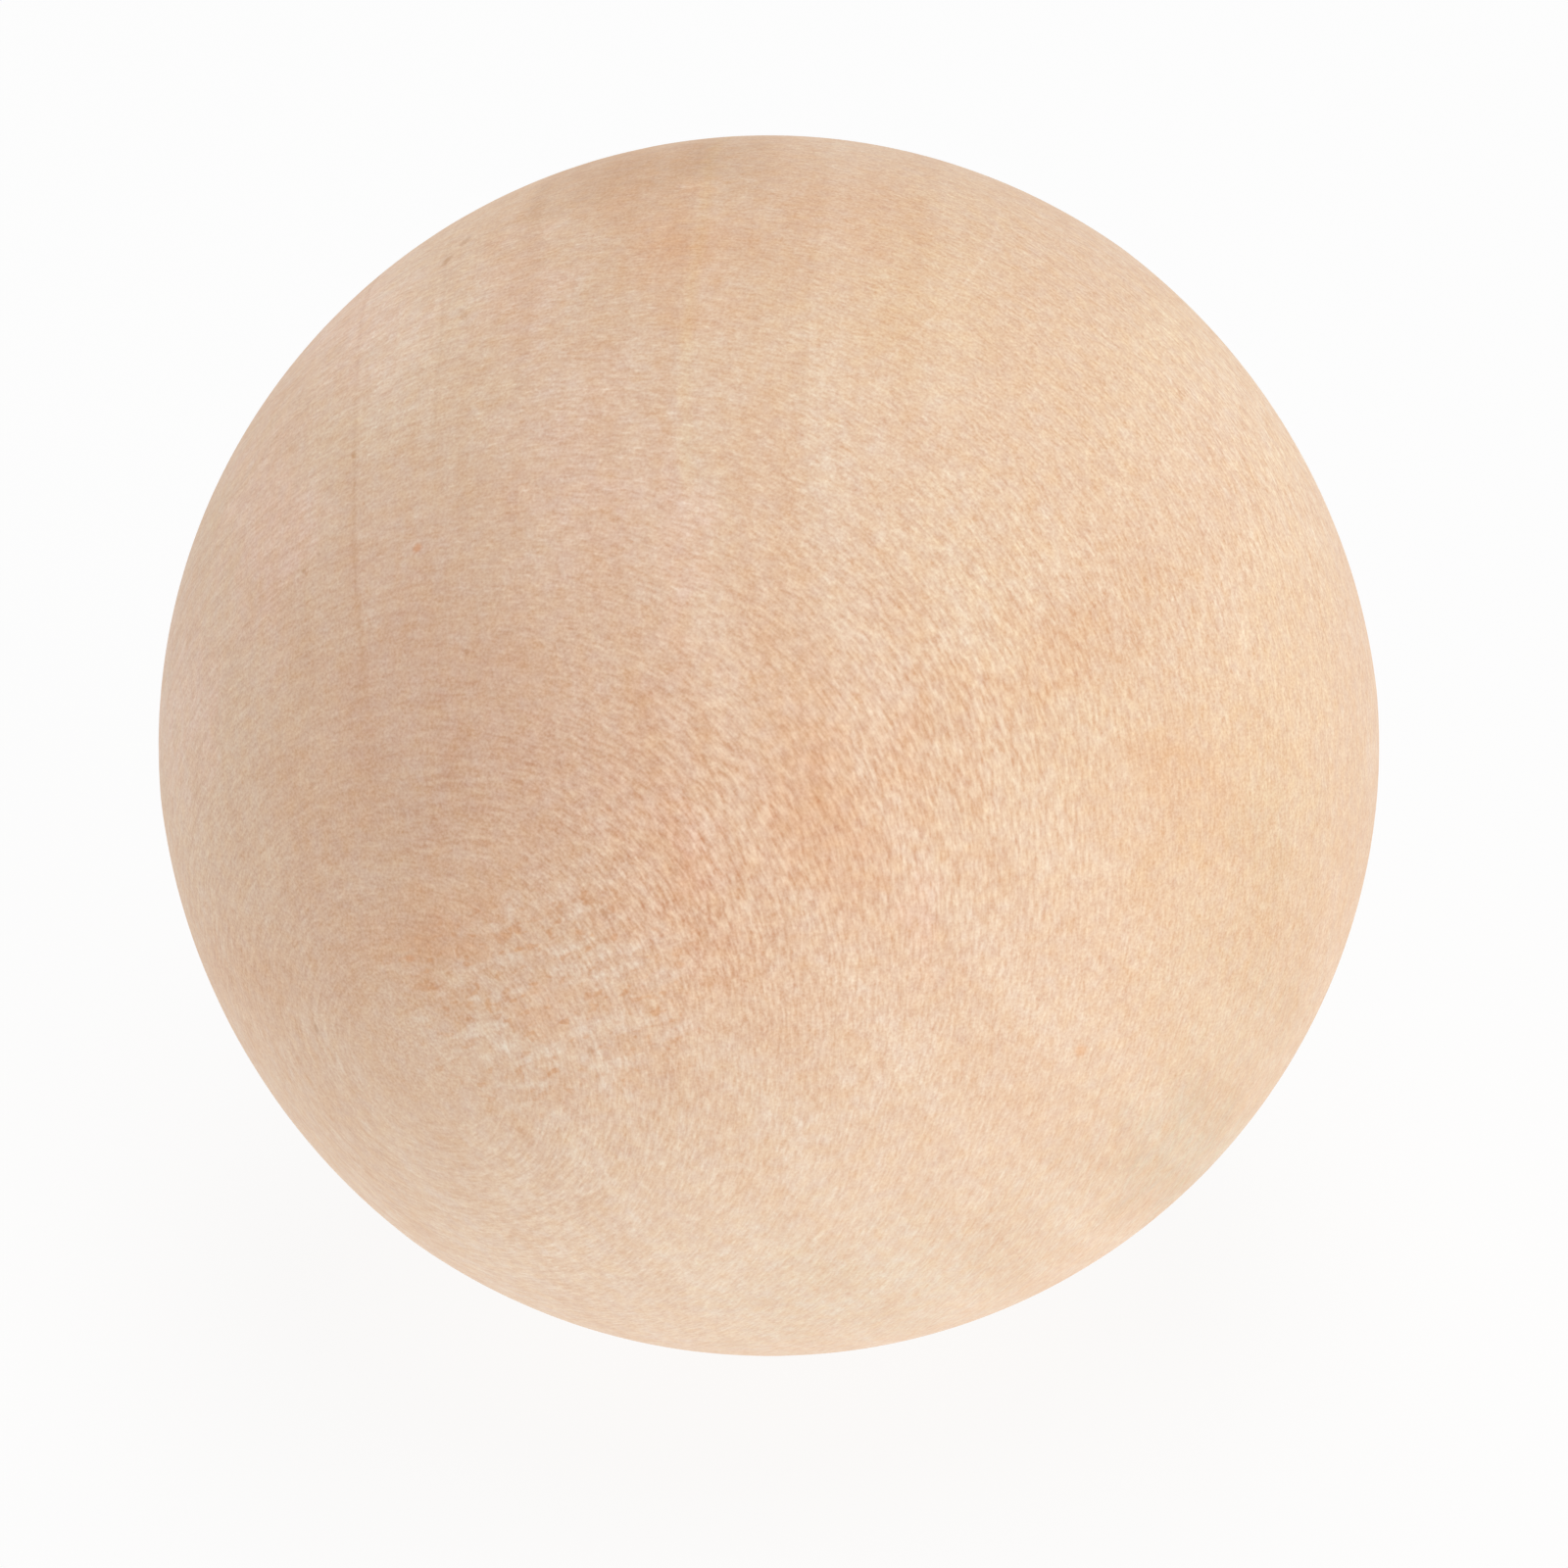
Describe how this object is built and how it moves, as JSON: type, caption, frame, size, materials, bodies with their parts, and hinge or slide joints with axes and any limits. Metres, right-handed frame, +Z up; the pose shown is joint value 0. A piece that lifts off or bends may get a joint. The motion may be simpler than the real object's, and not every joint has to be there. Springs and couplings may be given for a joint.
{
  "type": "wooden ball",
  "caption": "Plain solid ball turned from pale hardwood, for use as a knob, foot, spacer, roller or craft blank.",
  "frame": {"origin": "centre of the ball", "axes": "+Z up as it lies on a table; the turning axis and the grain lie level along Y, with the end grain facing -Y; +X to the right seen from -Y"},
  "size_m": [0.05, 0.05, 0.05],
  "materials": {
    "wood": "bare sanded pale hardwood, matt, with growth rings and end grain"
  },
  "bodies": {
    "root": {"ball": "wood"}
  },
  "joints": []
}
